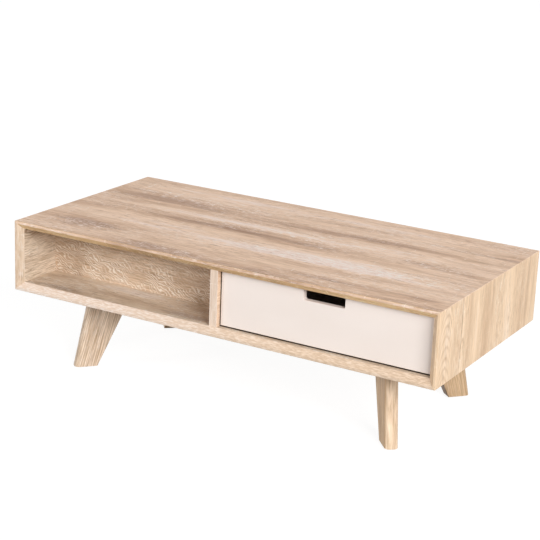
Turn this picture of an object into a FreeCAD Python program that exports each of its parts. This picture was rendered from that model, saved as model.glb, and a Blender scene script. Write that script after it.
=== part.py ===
# Two-sided storage coffee table on four splayed plank legs.
#
# The box is a frame of four mitred boards whose long edges are bevelled inwards. A centre
# divider and two niche backs share its inside between two open niches and two drawers, one
# of each on either long side, so the table looks the same when it is turned half round.
# Each drawer runs on a pair of roller slides. All sizes are millimetres. The origin is on
# the floor under the middle of the table, with X along the length, Y from front to rear and
# Z up.
import FreeCAD
import Part
import math
import os

Vector = FreeCAD.Vector
ORIGIN = Vector(0, 0, 0)
X = Vector(1, 0, 0)
Y = Vector(0, 1, 0)
Z = Vector(0, 0, 1)
FULL_TURN = 360.0
HALF_TURN = 180.0
QUARTER_TURN = 90.0
MITRE_TURN = 45.0

# Overall sizes
table_length = 1200.0
table_depth = 600.0
table_height = 395.0
box_height = 186.0
niche_depth = 142.5

# Boards
board = 21.0
niche_back_board = 15.0
front_board = 15.0
drawer_board = 12.0
base_board = 3.0
bevel = 14.0
edge_radius = 1.5

# Room around fitted pieces, and how far a cut passes the face that it leaves
fit_room = 0.05
end_room = 0.5
overrun = 10.0

# Loose tongues in the mitres
tongue_thickness = 4.0
tongue_width = 13.0
tongue_end_inset = 45.0
tongue_place_share = 0.4

# Dowels above the divider and the niche backs
dowel_diameter = 8.0
dowel_length = 30.0
dowel_sunk_length = 11.0
dowel_chamfer = 1.0
divider_dowel_shares = (-0.38, 0.0, 0.38)
niche_dowel_shares = (-0.42, 0.0, 0.42)

# Screws up through the bottom panel into the divider and the niche backs
carcass_screw_diameter = 6.0
carcass_screw_head = 10.0
carcass_screw_head_height = 3.0
carcass_screw_length = 40.0
divider_screw_shares = (-0.28, 0.0, 0.28)
niche_screw_shares = (-0.41, 0.0, 0.41)

# Legs, drawn in the upright plane that each plank lies in
leg_thickness = 33.0
leg_foot_length = 60.0
leg_outer_lean = 42.0
leg_inner_lean = 97.0
leg_outer_radius = 12.0
leg_inner_radius = 2.0
leg_end_inset = 171.2
leg_side_inset = 124.4
leg_yaw = 48.5

# Steel plates that carry the legs
plate_thickness = 2.5
plate_wing = 22.0
plate_end_margin = 4.0
plate_corner_radius = 8.0
plate_screw_inset = 15.0
plate_screw_diameter = 4.0
plate_screw_head = 8.0
plate_screw_head_height = 2.4
plate_screw_length = 16.0
leg_screw_spread = 50.0
leg_screw_diameter = 4.5
leg_screw_head = 8.5
leg_screw_head_height = 2.2
leg_screw_length = 45.0

# Foot glides, nailed under the legs
glide_height = 3.0
glide_diameter = 22.0
glide_chamfer = 1.0
glide_pin_diameter = 2.5
glide_pin_length = 16.0

# Drawer fronts
front_gap = 4.0
front_recess = 12.0
front_edge_radius = 1.0
notch_width = 110.0
notch_depth = 26.0
notch_radius = 5.0

# Drawer boxes
side_height = 98.0
side_gap = 12.5
drawer_rear_gap = 5.5
groove_depth = 5.0
groove_rise = 8.0

# Cam fittings between the drawer sides and the front
cam_diameter = 12.0
cam_depth = 9.5
cam_setback = 24.0
cam_shares = (0.36, 0.8)
cam_slot_room = 0.4
cam_stub_diameter = 5.0
cam_stub_length = 11.0
cam_stud_diameter = 6.0
cam_neck_diameter = 3.5
cam_neck_length = 4.0
cam_head_length = 2.5

# Screws through the drawer sides into the drawer back
back_screw_diameter = 4.0
back_screw_head = 8.0
back_screw_head_height = 2.5
back_screw_length = 35.0
back_screw_shares = (0.32, 0.8)

# Roller slides
steel = 1.2
roller_diameter = 24.0
roller_thickness = 6.0
roller_chamfer = 0.8
running_gap = 0.3
flange_headroom = 1.8
rail_width = 10.8
rail_lip = 4.0
rail_rise = 10.0
rail_setback = 1.0
rail_rear_gap = 0.5
rail_mouth = 45.0
roller_end_room = 2.0
rail_roller_gap = 0.8
runner_roller_gap = 2.0
runner_foot = 10.0
runner_foot_rise = 6.0
runner_flange_gap = 1.0
stop_drop = 2.0
travel_share = 0.75

# Rivets that the rollers turn on
rivet_diameter = 6.0
rivet_head = 9.0
rivet_head_height = 1.2
rivet_collar = 8.0
rivet_running_room = 0.08
rivet_play = 0.1

# Screws that hold the rails and runners
slide_screw_diameter = 3.5
slide_screw_head = 6.0
slide_screw_head_height = 1.5
slide_screw_length = 11.0
rail_screw_shares = (0.12, 0.5, 0.88)
rail_screw_height_share = 0.7
runner_screw_shares = (0.14, 0.47, 0.8)
runner_screw_height_share = 0.5

# Places worked out from those sizes
half_length = table_length / 2
half_depth = table_depth / 2
half_board = board / 2
box_bottom = table_height - box_height
box_middle = table_height - box_height / 2
floor_z = box_bottom + board
ceiling_z = table_height - board
inner_end = half_length - board
inner_edge = half_depth - bevel
niche_face_y = niche_depth - half_depth
niche_rear_y = niche_face_y + niche_back_board
niche_middle_y = niche_face_y + niche_back_board / 2
cavity_middle = (half_board + inner_end) / 2
cavity_length = inner_end - half_board

front_y = front_recess - inner_edge
front_rear_y = front_y + front_board
front_bottom_z = floor_z + front_gap
front_top_z = ceiling_z - front_gap
notch_z = front_top_z - notch_depth

roller_radius = roller_diameter / 2
rail_z = floor_z + rail_rise
rail_front_y = front_rear_y + rail_setback
rail_rear_y = -niche_rear_y - rail_rear_gap
rail_length = rail_rear_y - rail_front_y
roller_z = rail_z + steel + running_gap + roller_radius
flange_z = roller_z + roller_radius + running_gap
rail_height = flange_z + steel + flange_headroom + steel - rail_z
side_bottom_z = rail_z + runner_foot_rise
side_top_z = side_bottom_z + side_height
side_rear_y = -niche_rear_y - drawer_rear_gap
rail_roller_y = rail_front_y + roller_end_room + roller_radius
runner_roller_y = side_rear_y - roller_end_room - roller_radius
drawer_travel = travel_share * rail_length
base_z = side_bottom_z + groove_rise
base_top_z = base_z + base_board
side_inner = side_gap + drawer_board

nodes = {}


def keep(name, shapes):
    """Names one piece, or a group of alike pieces, of the table."""
    solids = [solid for shape in shapes for solid in shape.Solids]
    nodes[name] = solids[0] if len(solids) == 1 else Part.makeCompound(solids)


def block(low, high):
    """Box between two opposite corners."""
    size = Vector(*high) - Vector(*low)
    return Part.makeBox(size.x, size.y, size.z, Vector(*low))


def extruded(points, travel):
    """Solid swept by a flat outline that moves straight along travel."""
    return Part.Face(Part.makePolygon(points + points[:1])).extrude(travel)


def turned(profile, base, axis):
    """Solid turned from (radius, height) points, standing on base and pointing along axis."""
    points = [Vector(radius, 0, height) for radius, height in profile]
    solid = Part.Face(Part.makePolygon(points + points[:1])).revolve(ORIGIN, Z, FULL_TURN)
    solid.Placement = FreeCAD.Placement(base, FreeCAD.Rotation(Z, axis))
    return solid


def rounded(solid, radius, wanted):
    """The solid with every edge that wanted picks out rounded."""
    return solid.makeFillet(radius, [edge for edge in solid.Edges if wanted(edge)])


def half_turned(shapes):
    """Copies of the shapes, turned half round to the other long side of the table."""
    copies = [shape.copy() for shape in shapes]
    for copy in copies:
        copy.rotate(ORIGIN, Z, HALF_TURN)
    return copies


def sunk_screw(diameter, head, head_height, length, room=0.0):
    """Profile of a countersunk screw from its flush head to its tip; room makes it a hole."""
    radius = diameter / 2 + room
    rim = head / 2 + room
    tip = length + room
    return [(0, 0), (rim, 0), (radius, head_height), (radius, tip - diameter), (0, tip)]


def pan_screw(diameter, head, head_height, length):
    """Profile of a pan head screw, with height zero where its head seats."""
    radius = diameter / 2
    rim = head / 2
    crown = rim - head_height / 2
    dome = [(0, -head_height), (crown, -head_height), (rim, -head_height / 2), (rim, 0)]
    return dome + [(radius, 0), (radius, length - diameter), (0, length)]


def pilot(diameter, length):
    """Profile of the hole that a screw or dowel goes into."""
    radius = diameter / 2 + fit_room
    depth = length + end_room
    return [(0, 0), (radius, 0), (radius, depth), (0, depth)]


def frame_board(length, reach, turn):
    """One board of the box: bevelled, mitred at both ends and turned to its own side."""
    half = length / 2
    ends = [(-half, board), (half, board), (half - board, 0), (board - half, 0)]
    edges = [
        (-half_depth, board),
        (half_depth, board),
        (half_depth, bevel),
        (inner_edge, 0),
        (-inner_edge, 0),
        (-half_depth, bevel),
    ]
    mitred = extruded([Vector(x, -half_depth, z) for x, z in ends], Y * table_depth)
    bevelled = extruded([Vector(-half, y, z) for y, z in edges], X * length)
    solid = mitred.common(bevelled)
    solid.translate(Z * (reach - board))
    solid.rotate(ORIGIN, Y, turn)
    solid.translate(Z * box_middle)
    return solid.common(rounded_box)


def mitre_tongue(side, level, room, length_room):
    """Loose tongue across the mitre on one side of the box; the rooms make it a groove."""
    long = half_depth - tongue_end_inset + length_room
    wide = tongue_width / 2 + length_room
    thick = tongue_thickness / 2 + room
    solid = block((-wide, -long, -thick), (wide, long, thick))
    solid.rotate(ORIGIN, Y, MITRE_TURN * side * level)
    out = board * tongue_place_share
    corner_x = side * (inner_end + out)
    corner_z = box_middle + level * (box_height / 2 - board + out)
    solid.translate(Vector(corner_x, 0, corner_z))
    return solid


def dowel(place):
    """Dowel that stands in the top edge of an inner board and in the top panel."""
    radius = dowel_diameter / 2
    end = radius - dowel_chamfer
    top = dowel_length - dowel_chamfer
    profile = [(0, 0), (end, 0), (radius, dowel_chamfer), (radius, top), (end, dowel_length)]
    foot = ceiling_z + dowel_sunk_length - dowel_length
    return turned(profile + [(0, dowel_length)], Vector(*place, foot), Z)


def dowel_hole(place):
    """Hole for a dowel, with room at both of its ends."""
    foot = ceiling_z + dowel_sunk_length - dowel_length - end_room
    return turned(pilot(dowel_diameter, dowel_length + end_room), Vector(*place, foot), Z)


def carcass_screw(place, room=0.0):
    """Screw driven up through the bottom panel; room makes it a hole."""
    sizes = (carcass_screw_diameter, carcass_screw_head, carcass_screw_head_height)
    profile = sunk_screw(*sizes, carcass_screw_length, room)
    return turned(profile, Vector(*place, box_bottom), Z)


def build_box():
    """The four boards of the box, the divider, the niche backs and what joins them."""
    corners = [(side, level) for side in (-1, 1) for level in (-1, 1)]
    grooves = {corner: mitre_tongue(*corner, fit_room, end_room) for corner in corners}
    niche_middle_x = -cavity_middle
    niche_dowels = [(niche_middle_x + share * cavity_length, niche_middle_y) for share in niche_dowel_shares]
    niche_screws = [(niche_middle_x + share * cavity_length, niche_middle_y) for share in niche_screw_shares]
    divider_dowels = [(0, share * table_depth) for share in divider_dowel_shares]
    divider_screws = [(0, share * table_depth) for share in divider_screw_shares]
    dowel_places = divider_dowels + niche_dowels + [(-x, -y) for x, y in niche_dowels]
    screw_places = divider_screws + niche_screws + [(-x, -y) for x, y in niche_screws]
    dowel_holes = [dowel_hole(place) for place in dowel_places]
    screw_holes = [carcass_screw(place, fit_room) for place in screw_places]
    right_holes, divider_holes = rail_holes()

    top = frame_board(table_length, box_height / 2, 0)
    right = frame_board(box_height, half_length, QUARTER_TURN)
    bottom = frame_board(table_length, box_height / 2, HALF_TURN)
    left = frame_board(box_height, half_length, -QUARTER_TURN)
    keep("top_panel", [top.cut([grooves[-1, 1], grooves[1, 1]] + dowel_holes)])
    below = screw_holes + plate_screw_holes()
    keep("bottom_panel", [bottom.cut([grooves[-1, -1], grooves[1, -1]] + below)])
    keep("right_side_panel", [right.cut([grooves[1, -1], grooves[1, 1]] + right_holes)])
    left_holes = half_turned(right_holes)
    keep("left_side_panel", [left.cut([grooves[-1, -1], grooves[-1, 1]] + left_holes)])

    divider = block((-half_board, -inner_edge, floor_z), (half_board, inner_edge, ceiling_z))
    slide_holes = divider_holes + half_turned(divider_holes)
    keep("centre_divider", [divider.cut(dowel_holes + screw_holes + slide_holes)])
    back = block((-inner_end, niche_face_y, floor_z), (-half_board, niche_rear_y, ceiling_z))
    back = back.cut(dowel_holes + screw_holes)
    keep("front_niche_back", [back])
    keep("rear_niche_back", half_turned([back]))

    keep("mitre_tongues", [mitre_tongue(*corner, 0, 0) for corner in corners])
    keep("carcass_dowels", [dowel(place) for place in dowel_places])
    keep("carcass_screws", [carcass_screw(place) for place in screw_places])


# Legs. Each stands in an upright plane, drawn with X outwards along the plank from the inner
# edge of the foot, and is then turned and moved to its corner of the table.
leg_top_z = box_bottom - plate_thickness
leg_top_outer = leg_foot_length - leg_outer_lean
leg_top_middle = (leg_top_outer - leg_inner_lean) / 2
plate_half_length = (leg_top_outer + leg_inner_lean) / 2 + plate_end_margin
plate_half_width = leg_thickness / 2 + plate_wing
plate_screw_reach = plate_half_length - plate_screw_inset
plate_screw_side = leg_thickness / 2 + plate_wing / 2
leg_corners = {
    "front_left": (-1, -1),
    "front_right": (1, -1),
    "rear_left": (-1, 1),
    "rear_right": (1, 1),
}


def at_corner(solid, side, end):
    """The solid moved from the plank's own plane to one corner of the table."""
    yaw = math.radians(leg_yaw)
    turn = math.degrees(math.atan2(end * math.sin(yaw), side * math.cos(yaw)))
    solid.rotate(ORIGIN, Z, turn)
    foot_x = side * (half_length - leg_end_inset)
    foot_y = end * (half_depth - leg_side_inset)
    solid.translate(Vector(foot_x, foot_y, 0))
    return solid


def leg_plank():
    """Tapered plank that leans outwards, with its outer narrow face rounded."""
    outline = [
        (0, glide_height),
        (leg_foot_length, glide_height),
        (leg_top_outer, leg_top_z),
        (-leg_inner_lean, leg_top_z),
    ]
    points = [Vector(x, -leg_thickness / 2, z) for x, z in outline]
    solid = extruded(points, Y * leg_thickness)
    middle_x = (leg_foot_length + leg_top_outer - leg_inner_lean) / 4
    upright = [edge for edge in solid.Edges if edge.BoundBox.ZLength > leg_top_z / 2]
    outer = [edge for edge in upright if edge.CenterOfMass.x > middle_x]
    inner = [edge for edge in upright if edge.CenterOfMass.x < middle_x]
    solid = solid.makeFillet(leg_outer_radius, outer)
    inner_x = [edge.CenterOfMass.x for edge in inner][0]
    solid = rounded(
        solid,
        leg_inner_radius,
        lambda edge: edge.BoundBox.ZLength > leg_top_z / 2
        and abs(edge.CenterOfMass.x - inner_x) < leg_inner_radius,
    )
    return solid.cut(leg_screws(fit_room) + [glide(fit_room)])


def leg_screws(room=0.0):
    """Screws down through the plate into the top of the plank; room makes them holes."""
    sizes = (leg_screw_diameter, leg_screw_head, leg_screw_head_height, leg_screw_length)
    reach = leg_screw_spread / 2
    places = [Vector(leg_top_middle + way * reach, 0, box_bottom) for way in (-1, 1)]
    return [turned(sunk_screw(*sizes, room), place, -Z) for place in places]


def plate_screw_places():
    """Where the four screws of a leg plate pass through it, seen in the plank's plane."""
    places = []
    for along in (-1, 1):
        for across in (-1, 1):
            x = leg_top_middle + along * plate_screw_reach
            places.append(Vector(x, across * plate_screw_side, leg_top_z))
    return places


def plate_screw_holes():
    """Pilot holes in the bottom panel for the screws of all four leg plates."""
    profile = pilot(plate_screw_diameter, plate_screw_length)
    corners = leg_corners.values()
    places = plate_screw_places()
    return [at_corner(turned(profile, place, Z), *corner) for corner in corners for place in places]


def leg_plate():
    """Steel plate between the plank and the bottom panel."""
    low = (leg_top_middle - plate_half_length, -plate_half_width, leg_top_z)
    high = (leg_top_middle + plate_half_length, plate_half_width, box_bottom)
    plate = block(low, high)
    plate = rounded(plate, plate_corner_radius, lambda edge: edge.BoundBox.ZLength > plate_thickness / 2)
    profile = pilot(plate_screw_diameter, plate_screw_length)
    holes = [turned(profile, place, Z) for place in plate_screw_places()]
    return plate.cut(holes + leg_screws(fit_room))


def glide(room=0.0):
    """Nylon glide with the pin that holds it in the foot; room widens the pin to its hole."""
    radius = glide_diameter / 2
    pin = glide_pin_diameter / 2 + room
    tip = glide_height + glide_pin_length + room
    profile = [
        (0, 0),
        (radius - glide_chamfer, 0),
        (radius, glide_chamfer),
        (radius, glide_height),
        (pin, glide_height),
        (pin, tip),
        (0, tip),
    ]
    return turned(profile, X * (leg_foot_length / 2), Z)


def build_legs():
    """Four legs with their plates, screws and glides."""
    sizes = (plate_screw_diameter, plate_screw_head, plate_screw_head_height, plate_screw_length)
    plate_screws = [turned(pan_screw(*sizes), place, Z) for place in plate_screw_places()]
    all_plate_screws = []
    all_leg_screws = []
    glides = []
    for name, corner in leg_corners.items():
        keep(name + "_leg", [at_corner(leg_plank(), *corner)])
        keep(name + "_leg_plate", [at_corner(leg_plate(), *corner)])
        all_plate_screws += [at_corner(screw.copy(), *corner) for screw in plate_screws]
        all_leg_screws += [at_corner(screw, *corner) for screw in leg_screws()]
        glides.append(at_corner(glide(), *corner))
    keep("leg_plate_screws", all_plate_screws)
    keep("leg_screws", all_leg_screws)
    keep("foot_glides", glides)


# Drawers and slides. All are drawn for the front drawer, in the right half of the box, and
# the rear drawer is the same turned half round. A place across a slide is measured from the
# wall that carries the rail towards the drawer.
walls = {"left": (half_board, 1), "right": (inner_end, -1)}


def from_wall(side, across):
    """X of a place that lies a distance across from the wall on one side of a drawer."""
    wall_x, way = walls[side]
    return wall_x + way * across


def slide_section(side, outline, start_y, length):
    """Steel section of a slide, from (across, height) points, running along Y."""
    points = [Vector(from_wall(side, across), start_y, height) for across, height in outline]
    return extruded(points, Y * length)


def slide_block(side, low, high):
    """Box between two (across, y, height) corners beside the wall."""
    start = from_wall(side, low[0])
    stop = from_wall(side, high[0])
    return block((min(start, stop), *low[1:]), (max(start, stop), *high[1:]))


def rail_screw_places(side):
    """Where the screws of a rail seat on its web."""
    height = rail_z + rail_height * rail_screw_height_share
    lengths = [rail_front_y + share * rail_length for share in rail_screw_shares]
    return [Vector(from_wall(side, steel), y, height) for y in lengths]


def runner_screw_places(side):
    """Where the screws of a runner seat on its web."""
    height = base_top_z + (flange_z - base_top_z) * runner_screw_height_share
    length = side_rear_y - front_rear_y
    lengths = [front_rear_y + share * length for share in runner_screw_shares]
    return [Vector(from_wall(side, side_gap - steel), y, height) for y in lengths]


def rail_holes():
    """Pilot holes for the front rails: those in the right side panel, and in the divider."""
    profile = pilot(slide_screw_diameter, slide_screw_length)
    right = [turned(profile, place, X) for place in rail_screw_places("right")]
    left = [turned(profile, place, -X) for place in rail_screw_places("left")]
    return right, left


def rail(side):
    """Channel on the wall of the box, with a lip, a mouth to lift the roller out and a stop."""
    top = rail_z + rail_height
    outline = [
        (0, rail_z),
        (rail_width, rail_z),
        (rail_width, rail_z + rail_lip),
        (rail_width - steel, rail_z + rail_lip),
        (rail_width - steel, rail_z + steel),
        (steel, rail_z + steel),
        (steel, top - steel),
        (rail_width, top - steel),
        (rail_width, top),
        (0, top),
    ]
    solid = slide_section(side, outline, rail_front_y, rail_length)
    end_low = (steel / 2, rail_rear_y - steel, rail_z + steel / 2)
    solid = solid.fuse(slide_block(side, end_low, (rail_width, rail_rear_y, top - steel / 2)))
    mouth_low = (steel, rail_front_y - overrun, top - steel - fit_room)
    mouth_high = (rail_width + overrun, rail_front_y + rail_mouth, top + overrun)
    solid = solid.removeSplitter().cut(slide_block(side, mouth_low, mouth_high))
    profile = pilot(slide_screw_diameter, slide_screw_length)
    way = -walls[side][1]
    holes = [turned(profile, place, X * way) for place in rail_screw_places(side)]
    return solid.cut(holes + [rivet_hole(rail_rivet_base(side), -way)])


def runner(side):
    """Angle on the drawer side, with a foot under it, a flange that rides and a stop tab."""
    web = side_gap - steel
    flange_tip = steel + runner_flange_gap
    outline = [
        (web, side_bottom_z - steel),
        (side_gap + runner_foot, side_bottom_z - steel),
        (side_gap + runner_foot, side_bottom_z),
        (side_gap, side_bottom_z),
        (side_gap, flange_z + steel),
        (flange_tip, flange_z + steel),
        (flange_tip, flange_z),
        (web, flange_z),
    ]
    solid = slide_section(side, outline, front_rear_y, side_rear_y - front_rear_y)
    drop_above_roller = roller_radius + running_gap - stop_drop
    chord = math.sqrt(roller_radius**2 - drop_above_roller**2)
    stop_y = rail_roller_y + chord + running_gap + drawer_travel
    stop_low = (flange_tip, stop_y, flange_z - stop_drop)
    stop_high = (rail_roller_gap + steel + roller_thickness, stop_y + steel, flange_z + steel / 2)
    solid = solid.fuse(slide_block(side, stop_low, stop_high)).removeSplitter()
    profile = pilot(slide_screw_diameter, slide_screw_length)
    way = walls[side][1]
    holes = [turned(profile, place, X * way) for place in runner_screw_places(side)]
    return solid.cut(holes + [rivet_hole(runner_rivet_base(side), -way)])


def rail_rivet_base(side):
    """Where a rail's rivet starts, flush with the back of the web."""
    return Vector(from_wall(side, 0), rail_roller_y, roller_z)


def runner_rivet_base(side):
    """Where a runner's rivet starts, flush with the back of the web."""
    return Vector(from_wall(side, side_gap), runner_roller_y, roller_z)


def rivet_hole(base, way):
    """Hole through a web for a rivet."""
    radius = rivet_diameter / 2 + fit_room
    return turned([(0, 0), (radius, 0), (radius, steel), (0, steel)], base, X * way)


def rivet(base, way, gap):
    """Rivet with a collar that keeps the roller off the web, and its head in the roller."""
    stud = rivet_diameter / 2
    collar = rivet_collar / 2
    head = rivet_head / 2
    seat = steel + gap - rivet_play
    tip = steel + gap + roller_thickness
    profile = [
        (0, 0),
        (stud, 0),
        (stud, steel),
        (collar, steel),
        (collar, seat),
        (stud, seat),
        (stud, tip - rivet_head_height),
        (head, tip - rivet_head_height),
        (head, tip),
        (0, tip),
    ]
    return turned(profile, base, X * way)


def roller(base, way, gap):
    """Nylon roller with a bore for its rivet and a recess for the rivet's head."""
    bore = rivet_diameter / 2 + rivet_running_room
    recess = rivet_head / 2 + running_gap
    floor = roller_thickness - rivet_head_height - rivet_play
    rim = roller_radius - roller_chamfer
    profile = [
        (bore, 0),
        (rim, 0),
        (roller_radius, roller_chamfer),
        (roller_radius, roller_thickness - roller_chamfer),
        (rim, roller_thickness),
        (recess, roller_thickness),
        (recess, floor),
        (bore, floor),
    ]
    return turned(profile, base + X * (way * (steel + gap)), X * way)


def cam_places(side):
    """Where the cam bolts of one drawer side cross their cams."""
    middle_x = from_wall(side, side_gap + drawer_board / 2)
    heights = [side_bottom_z + share * side_height for share in cam_shares]
    return [Vector(middle_x, front_rear_y + cam_setback, height) for height in heights]


def cam_bolt(place, room=0.0):
    """Bolt from the drawer front into a cam; room makes it a hole."""
    stub = cam_stub_diameter / 2 + room
    stud = cam_stud_diameter / 2 + room
    neck = cam_neck_diameter / 2 + room
    head_end = cam_stub_length + cam_setback + cam_head_length / 2
    head_start = head_end - cam_head_length
    neck_start = head_start - cam_neck_length
    profile = [
        (0, 0),
        (stub, 0),
        (stub, cam_stub_length),
        (stud, cam_stub_length),
        (stud, neck_start),
        (neck, neck_start),
        (neck, head_start),
        (stud, head_start),
        (stud, head_end),
        (0, head_end),
    ]
    base = Vector(place.x, front_rear_y - cam_stub_length, place.z)
    return turned(profile, base, Y)


def cam_bore(side, place, room):
    """Round body of a cam, set into the inner face of a drawer side."""
    way = walls[side][1]
    face = Vector(from_wall(side, side_inner), place.y, place.z)
    radius = cam_diameter / 2 + room
    depth = cam_depth + room
    return turned([(0, 0), (radius, 0), (radius, depth), (0, depth)], face, X * -way)


def cam(side, place):
    """Cam with the slot that the head of its bolt drops into."""
    reach = cam_stud_diameter / 2 + cam_slot_room
    middle = side_gap + drawer_board / 2
    low = (middle - drawer_board, place.y - cam_diameter, place.z - reach)
    high = (middle + reach, place.y + reach, place.z + reach)
    return cam_bore(side, place, 0).cut(slide_block(side, low, high))


def back_screws(side, room=0.0):
    """Screws through one drawer side into the back; room makes them holes."""
    sizes = (back_screw_diameter, back_screw_head, back_screw_head_height, back_screw_length)
    way = walls[side][1]
    y = side_rear_y - drawer_board / 2
    heights = [base_top_z + share * (side_top_z - base_top_z) for share in back_screw_shares]
    places = [Vector(from_wall(side, side_gap), y, height) for height in heights]
    return [turned(sunk_screw(*sizes, room), place, X * way) for place in places]


def base_groove():
    """Groove in the front and both sides that the drawer's bottom slides into."""
    reach = side_inner - groove_depth
    low = (from_wall("left", reach), front_rear_y - groove_depth, base_z - fit_room)
    high = (from_wall("right", reach), side_rear_y + overrun, base_top_z + fit_room)
    return block(low, high)


def drawer_front():
    """Front board with rounded edges and a finger notch in its top edge."""
    low = (half_board + front_gap, front_y, front_bottom_z)
    high = (inner_end - front_gap, front_rear_y, front_top_z)
    reach = notch_width / 2
    notch_low = (cavity_middle - reach, front_y - overrun, notch_z)
    notch_high = (cavity_middle + reach, front_rear_y + overrun, front_top_z + overrun)
    notch = block(notch_low, notch_high)
    notch = rounded(
        notch,
        notch_radius,
        lambda edge: edge.BoundBox.YLength > front_board and edge.CenterOfMass.z < front_top_z,
    )
    solid = block(low, high).cut(notch)
    solid = rounded(solid, front_edge_radius, lambda edge: edge.BoundBox.YMax < front_y + fit_room)
    bolts = [cam_bolt(place, fit_room) for side in walls for place in cam_places(side)]
    return solid.cut(bolts + [base_groove()])


def drawer_side(side):
    """Side board, grooved for the bottom and bored for the cams, bolts and screws."""
    low = (side_gap, front_rear_y, side_bottom_z)
    solid = slide_block(side, low, (side_inner, side_rear_y, side_top_z))
    cams = [cam_bore(side, place, fit_room) for place in cam_places(side)]
    bolts = [cam_bolt(place, fit_room) for place in cam_places(side)]
    profile = pilot(slide_screw_diameter, slide_screw_length)
    way = walls[side][1]
    pilots = [turned(profile, place, X * way) for place in runner_screw_places(side)]
    return solid.cut(cams + bolts + pilots + back_screws(side, fit_room) + [base_groove()])


def drawer_back():
    """Back board, standing on the drawer's bottom between the sides."""
    low = (from_wall("left", side_inner), side_rear_y - drawer_board, base_top_z + fit_room)
    high = (from_wall("right", side_inner), side_rear_y, side_top_z)
    screws = [screw for side in walls for screw in back_screws(side, fit_room)]
    return block(low, high).cut(screws)


def drawer_base():
    """Thin bottom that slides along the grooves under the back."""
    reach = side_inner - groove_depth + end_room
    low = (from_wall("left", reach), front_rear_y - groove_depth + end_room, base_z)
    return block(low, (from_wall("right", reach), side_rear_y, base_top_z))


def slide_screws(places, way):
    """Pan head screws that hold a rail or a runner."""
    sizes = (slide_screw_diameter, slide_screw_head, slide_screw_head_height, slide_screw_length)
    return [turned(pan_screw(*sizes), place, X * way) for place in places]


def drawer_pieces():
    """Every piece of the front drawer that moves with it, by name."""
    pieces = {
        "front": [drawer_front()],
        "back": [drawer_back()],
        "bottom": [drawer_base()],
        "cam_bolts": [],
        "cam_locks": [],
        "back_screws": [],
        "runner_rivets": [],
        "runner_screws": [],
    }
    for side, (_, way) in walls.items():
        base = runner_rivet_base(side)
        pieces[side + "_side"] = [drawer_side(side)]
        pieces[side + "_runner"] = [runner(side)]
        pieces[side + "_runner_roller"] = [roller(base, -way, runner_roller_gap)]
        pieces["cam_bolts"] += [cam_bolt(place) for place in cam_places(side)]
        pieces["cam_locks"] += [cam(side, place) for place in cam_places(side)]
        pieces["back_screws"] += back_screws(side)
        pieces["runner_rivets"].append(rivet(base, -way, runner_roller_gap))
        pieces["runner_screws"] += slide_screws(runner_screw_places(side), way)
    return pieces


def rail_pieces():
    """The rails and rollers that carry the front drawer, by name."""
    pieces = {"rail_rivets": [], "rail_screws": []}
    for side, (_, way) in walls.items():
        base = rail_rivet_base(side)
        pieces[side + "_rail"] = [rail(side)]
        pieces[side + "_rail_roller"] = [roller(base, way, rail_roller_gap)]
        pieces["rail_rivets"].append(rivet(base, way, rail_roller_gap))
        pieces["rail_screws"] += slide_screws(rail_screw_places(side), -way)
    return pieces


def build_drawers():
    """Both drawers, with their slides."""
    for name, shapes in drawer_pieces().items():
        keep("front_drawer_" + name, shapes)
        keep("rear_drawer_" + name, half_turned(shapes))
    for name, shapes in rail_pieces().items():
        if name in ("rail_rivets", "rail_screws"):
            keep(name, shapes + half_turned(shapes))
        else:
            keep("front_drawer_" + name, shapes)
            keep("rear_drawer_" + name, half_turned(shapes))


outer_box = block((-half_length, -half_depth, box_bottom), (half_length, half_depth, table_height))
rounded_box = outer_box.makeFillet(edge_radius, outer_box.Edges)
build_box()
build_legs()
build_drawers()

os.makedirs("parts", exist_ok=True)
for node, shape in nodes.items():
    shape.exportStep("parts/" + node + ".step")
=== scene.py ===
"""Looks of the two-sided storage coffee table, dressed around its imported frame."""
import math

import bmesh
import bpy
from mathutils import Matrix, Vector


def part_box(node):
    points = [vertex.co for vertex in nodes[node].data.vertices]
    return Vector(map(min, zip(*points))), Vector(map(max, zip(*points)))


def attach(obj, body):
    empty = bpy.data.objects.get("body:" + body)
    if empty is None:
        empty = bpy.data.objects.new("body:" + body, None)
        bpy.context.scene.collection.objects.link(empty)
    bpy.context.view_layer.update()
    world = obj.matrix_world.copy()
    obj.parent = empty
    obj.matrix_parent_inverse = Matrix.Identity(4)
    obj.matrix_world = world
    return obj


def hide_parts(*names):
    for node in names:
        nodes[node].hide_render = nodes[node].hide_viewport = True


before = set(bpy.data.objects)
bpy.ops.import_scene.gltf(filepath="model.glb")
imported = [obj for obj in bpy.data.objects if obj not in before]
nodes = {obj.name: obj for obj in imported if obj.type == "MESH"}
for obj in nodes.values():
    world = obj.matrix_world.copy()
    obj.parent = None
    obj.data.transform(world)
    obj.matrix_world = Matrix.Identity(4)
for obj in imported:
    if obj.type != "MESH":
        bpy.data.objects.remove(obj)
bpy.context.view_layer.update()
MM = 0.001
X, Y, Z = 0, 1, 2

# Axes of a board, given as those that run along, across and through its grain
ALONG_X = (X, Y, Z)
ALONG_Y = (Y, X, Z)
ALONG_Y_UPRIGHT = (Y, Z, X)
ALONG_X_UPRIGHT = (X, Z, Y)
ALONG_Z = (Z, Y, X)
ALONG_Z_EDGE = (Z, X, Y)

WHITE = (1.0, 1.0, 1.0, 1.0)
# Sockets of a mix node for places and for colours: its two values, and what it puts out
MIX_SOCKETS = {"VECTOR": (4, 5, 1), "RGBA": (6, 7, 2)}


def shade(red, green, blue):
    """Colour for a shader from a colour as a display shows it."""
    levels = [level / 255 for level in (red, green, blue)]
    return (*[v / 12.92 if v < 0.04 else ((v + 0.055) / 1.055) ** 2.4 for v in levels], 1.0)


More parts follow.
